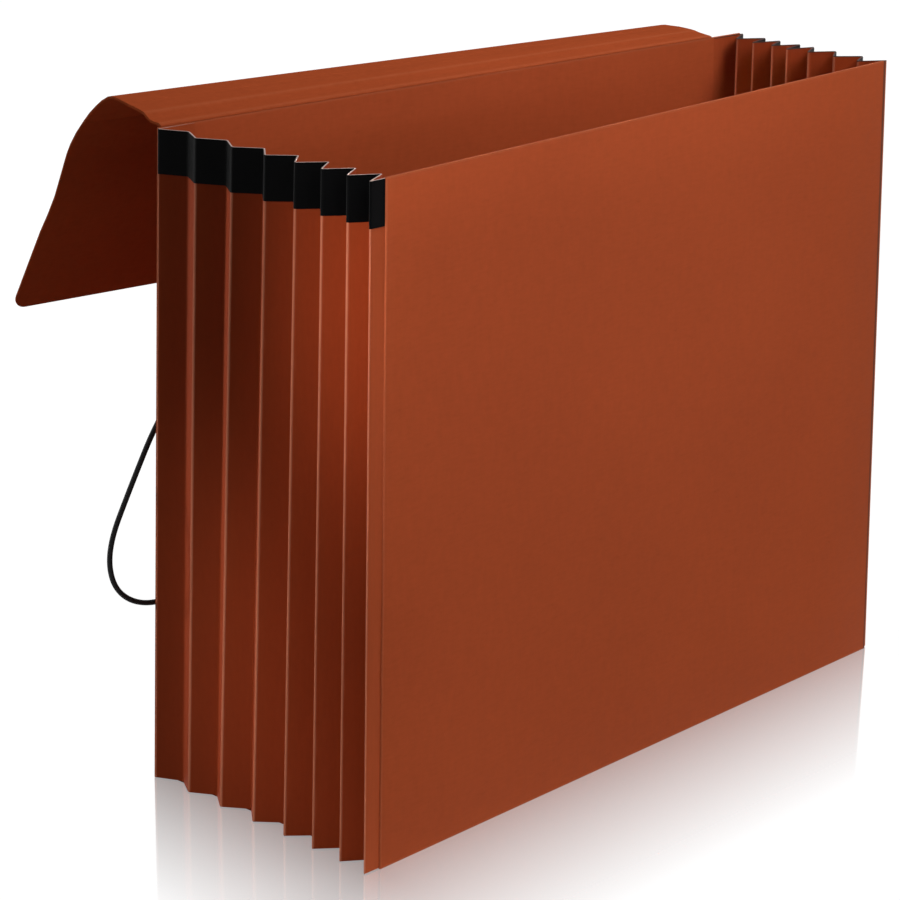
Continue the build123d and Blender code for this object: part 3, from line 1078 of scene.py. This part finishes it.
class FOLDER_OT_flap(bpy.types.Operator):
    """Make the scored flap that curls over behind the back board."""

    bl_idname = "folder.flap"
    bl_label = "Flap"

    def execute(self, context):
        sizes, colours = context.scene.folder_sizes, context.scene.folder_colours
        low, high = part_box("flap_panel")
        finish = board_finish("flap_fibre_board", colours, FLAP_GLOSS)
        for name, (side_view, bodies, joint, offsets) in FLAP_PIECES.items():
            rails = [[self.place(x, spot, low.x, high.x, sizes) for x in (low.x, high.x)]
                     for spot in side_view]
            piece = sheet_along(name, rails)
            if name == "flap_tail":
                choose(piece, "VERT", near(*rails[-1]))
                bevel(sizes.flap_corner, segments=8, affect="VERTICES")
            thicken(piece, sizes.board_thickness)
            self.soften_rim(piece, sizes)
            self.mark_scores(piece, low.x, high.x, sizes)
            smooth(piece, degrees=35.0)
            dress(piece, finish, "board_brown", bodies[1])
            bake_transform(piece)
        return {"FINISHED"}

    @staticmethod
    def place(x, spot, left, right, sizes):
        """A point of the flap's side view at one end; the right end sinks past the fold."""
        y, z = spot
        for (near_y, near_sink), (far_y, far_sink) in zip(FLAP_SINK, FLAP_SINK[1:]):
            if near_y <= y <= far_y:
                sink = near_sink + (far_sink - near_sink) * (y - near_y) / (far_y - near_y)
        sunk = sink * sizes.flap_droop * (x - left) / (right - left)
        return Vector((x, y * MM + lean_span(x, 0, sizes), (z - sunk) * MM))

    def mark_scores(self, piece, left, right, sizes):
        """Store how near each vertex is to a score line, painted pale as rubbed wear and painted
        highlight.
        """
        nearness = []
        for vertex in piece.data.vertices:
            spots = [self.place(vertex.co.x, score, left, right, sizes) for score in FLAP_SCORES]
            off = min((vertex.co - spot).length for spot in spots)
            nearness.append(max(0.0, 1.0 - off / SCORE_WEAR_AND_HIGHLIGHT))
        store(piece, "crease", nearness)

    @staticmethod
    def soften_rim(piece, sizes):
        """Take the sharpness off the flap's cut edges."""
        cut = piece.modifiers.new("cut_edge", "BEVEL")
        cut.width = sizes.board_round
        cut.segments = 2
        cut.limit_method = "ANGLE"
        cut.angle_limit = CUT_EDGE
        bpy.ops.object.modifier_apply(modifier=cut.name)


class FOLDER_OT_eyelets(bpy.types.Operator):
    """Make the brass eyelets that the cord passes through."""

    bl_idname = "folder.eyelets"
    bl_label = "Eyelets"

    def execute(self, context):
        sizes, colours = context.scene.folder_sizes, context.scene.folder_colours
        finish = brass_finish(colours)
        for side in SIDES:
            node = f"cord_eyelet_{side}"
            low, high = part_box(node)
            middle = leaned((low + high) / 2, 0, sizes)
            reach, deep = (high.x - low.x) / 2, (high.y - low.y) / 2
            starts = {"bore": reach - EYELET_RIM, "rim": reach}
            section = [(starts[base] + off, -deep * part) for base, off, part in EYELET_SECTION]
            section += [(radius, -y) for radius, y in reversed(section)]
            spots = [middle + Vector((radius, y, 0)) for radius, y in section]
            piece = start_plane(f"brass_eyelet_{side}")
            bpy.ops.mesh.delete(type="ONLY_FACE")
            choose(piece, "VERT", lambda vertex: vertex.co.y > 0 or vertex.co.x > 0)
            bpy.ops.mesh.delete(type="VERT")
            put(piece, PLANE_CORNERS[0], spots[0])
            for before, after in zip(spots, spots[1:]):
                choose(piece, "VERT", near(before))
                extrude(after - before)
            choose_all()
            bpy.ops.mesh.spin(steps=EYELET_STEPS, angle=math.tau, center=middle, axis=(0, 1, 0))
            choose_all()
            bpy.ops.mesh.remove_doubles(threshold=SAME_SPOT)
            choose_all()
            bpy.ops.mesh.normals_make_consistent(inside=False)
            thicken(piece, EYELET_WALL)
            smooth(piece, degrees=50.0)
            dress(piece, finish, "eyelet_brass", node)
            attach(piece, "back")
        return {"FINISHED"}


class FOLDER_OT_stage(bpy.types.Operator):
    """Set the pale floor, the plain light from all round, the lamps and the camera."""

    bl_idname = "folder.stage"
    bl_label = "Stage"

    def execute(self, context):
        stage = context.scene.folder_stage
        self.floor(context, stage)
        self.world(context, stage)
        for name, (place, target, size) in LAMPS.items():
            self.lamp(name, place, target, size, stage)
        for name, (place, target, wide, tall, spread) in BEAMS.items():
            beam = self.lamp(name, place, target, wide, stage)
            beam.shape = "RECTANGLE"
            beam.size_y = tall
            beam.spread = math.radians(spread)
        self.camera(context, stage)
        context.scene.view_settings.view_transform = "Standard"
        return {"FINISHED"}

    @staticmethod
    def seen(at):
        """One where the ray comes from the camera, a mirror or glass."""
        path = [at.node("ShaderNodeLightPath", {}, {}, name)
                for name in ("Is Camera Ray", "Is Glossy Ray", "Is Transmission Ray")]
        return at.math("MINIMUM", path[0] + path[1] + path[2], 1.0)

    @staticmethod
    def beyond(at, before, after):
        """How far a place lies outside a span, from its distances before it and after it."""
        return at.math("MAXIMUM", at.math("MAXIMUM", before, after), 0.0)

    def floor(self, context, stage):
        """A white floor that mirrors the folder faintly round its foot."""
        clear_selection()
        bpy.ops.mesh.primitive_plane_add(size=FLOOR_SIZE)
        floor = context.object
        floor.name = floor.data.name = "floor"
        finish, at = new_finish("pale_floor")
        where = object_place(at)
        white = (1, 1, 1, 1)
        matt = at.node("ShaderNodeBsdfDiffuse", {}, {"Color": rgba(stage.floor)})
        glow = at.node("ShaderNodeEmission", {}, {"Color": white, "Strength": FLOOR_GLOW})
        seen = self.seen(at) * FLOOR_GLOW_SHARE
        lit = at.node("ShaderNodeMixShader", {}, {0: seen, 1: matt, 2: glow})
        mirror = at.node("ShaderNodeBsdfGlossy", {}, {"Color": white, "Roughness": FLOOR_POLISH})
        x, y = axis(at, where, "X"), axis(at, where, "Y")
        beyond_x = self.beyond(at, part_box("front_panel")[0].x - x, x - FOOT_RIGHT)
        foot_front = at.math("MULTIPLY_ADD", x, FOOT_FAN, FOOT_FRONT)
        beyond_y = self.beyond(at, foot_front - y, y - FOOT_BACK)
        away = at.math("SQRT", beyond_x * beyond_x + beyond_y * beyond_y)
        sheen = at.node("ShaderNodeMapRange", {},
                        {"Value": away, "From Min": 0.0, "From Max": stage.mirror_reach,
                         "To Min": stage.mirror, "To Max": 0.0})
        camera_ray = at.node("ShaderNodeLightPath", {}, {}, "Is Camera Ray")
        sheen = sheen * (camera_ray * (1.0 - FLOOR_SHEEN_LIGHT) + FLOOR_SHEEN_LIGHT)
        shader = at.node("ShaderNodeMixShader", {}, {0: sheen, 1: lit, 2: mirror})
        at.node("ShaderNodeOutputMaterial", {}, {"Surface": shader})
        floor.data.materials.append(finish)

    def world(self, context, stage):
        world = bpy.data.worlds.new("studio")
        context.scene.world = world
        world.use_nodes = True
        world.node_tree.nodes.clear()
        at = Socket(world.node_tree)
        strength = stage.ambient + self.seen(at) * (1.0 - stage.ambient)
        shader = at.node("ShaderNodeBackground", {}, {"Color": (1, 1, 1, 1), "Strength": strength})
        at.node("ShaderNodeOutputWorld", {}, {"Surface": shader})

    @staticmethod
    def lamp(name, place, target, size, stage):
        clear_selection()
        bpy.ops.object.light_add(type="AREA", location=place)
        lamp = bpy.context.object
        lamp.name = lamp.data.name = f"{name}_lamp"
        lamp.rotation_euler = (Vector(target) - Vector(place)).to_track_quat("-Z", "Y").to_euler()
        lamp.data.size = size
        lamp.data.energy = getattr(stage, name)
        return lamp.data

    @staticmethod
    def camera(context, stage):
        az, el, roll = stage.azimuth, stage.elevation, stage.roll
        back = Vector((math.sin(az) * math.cos(el), -math.cos(az) * math.cos(el), math.sin(el)))
        right = Vector((math.cos(az), math.sin(az), 0))
        up = back.cross(right)
        across = math.cos(roll) * right + math.sin(roll) * up
        upward = -math.sin(roll) * right + math.cos(roll) * up
        clear_selection()
        place = Vector(CAMERA_TARGET) + back * stage.distance
        turn = Matrix((across, upward, back)).transposed()
        bpy.ops.object.camera_add(location=place, rotation=turn.to_euler())
        camera = context.object
        camera.data.sensor_width = SENSOR_WIDTH
        camera.data.lens = stage.lens
        camera.data.clip_end = CLIP_END
        context.scene.camera = camera


class FOLDER_PT_panel(bpy.types.Panel):
    """Sidebar panel with the folder's pieces, sizes and colours."""

    bl_idname = "FOLDER_PT_panel"
    bl_label = "Expanding folder"
    bl_space_type = "VIEW_3D"
    bl_region_type = "UI"
    bl_category = "Folder"

    def draw(self, context):
        for operator in OPERATORS:
            self.layout.operator(operator.bl_idname)
        scene = context.scene
        for group in (scene.folder_sizes, scene.folder_colours, scene.folder_stage):
            box = self.layout.box()
            for name in group.__annotations__:
                box.prop(group, name)


GROUPS = (FolderSizes, FolderColours, FolderStage)
OPERATORS = (
    FOLDER_OT_stage,
    FOLDER_OT_knots,
    FOLDER_OT_cord,
    FOLDER_OT_boards,
    FOLDER_OT_gussets,
    FOLDER_OT_tape,
    FOLDER_OT_bottom,
    FOLDER_OT_corners,
    FOLDER_OT_flap,
    FOLDER_OT_eyelets,
)


def register():
    for each in (*GROUPS, *OPERATORS, FOLDER_PT_panel):
        bpy.utils.register_class(each)
    bpy.types.Scene.folder_sizes = PointerProperty(type=FolderSizes)
    bpy.types.Scene.folder_colours = PointerProperty(type=FolderColours)
    bpy.types.Scene.folder_stage = PointerProperty(type=FolderStage)


def unregister():
    for name in ("folder_sizes", "folder_colours", "folder_stage"):
        delattr(bpy.types.Scene, name)
    for each in reversed((*GROUPS, *OPERATORS, FOLDER_PT_panel)):
        bpy.utils.unregister_class(each)


def main():
    register()
    for operator in OPERATORS:
        family, action = operator.bl_idname.split(".")
        getattr(getattr(bpy.ops, family), action)()


if __name__ == "__main__":
    main()
